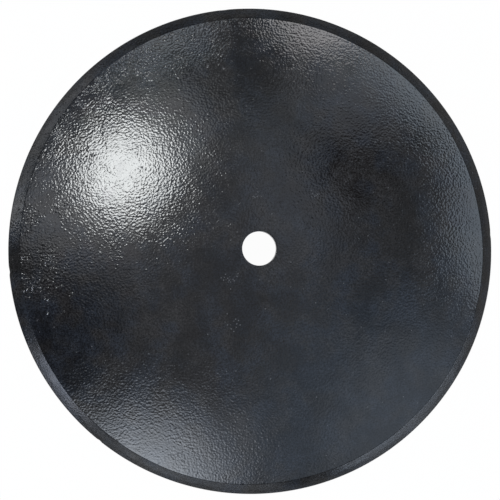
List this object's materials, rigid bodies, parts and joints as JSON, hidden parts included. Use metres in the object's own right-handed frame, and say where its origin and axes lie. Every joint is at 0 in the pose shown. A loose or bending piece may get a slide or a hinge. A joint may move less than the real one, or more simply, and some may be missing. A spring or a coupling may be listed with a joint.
{
  "type": "harrow disc blade",
  "caption": "Round dished steel blade for a disc harrow, with an outside bevel round its plain rim and a round arbor bore at its centre.",
  "frame": {"origin": "middle of the arbor bore's wall, on the bore's axis", "axes": "+Z along the bore's axis, out of the convex side; the blade lies on its rim with the convex side up and is the same all round"},
  "size_m": [0.6604, 0.6604, 0.0786],
  "materials": {
    "black_paint": "semi-gloss black paint over hot-rolled steel, with a fine pitted grain"
  },
  "bodies": {
    "root": {"disc_blade": "black_paint"}
  },
  "joints": []
}
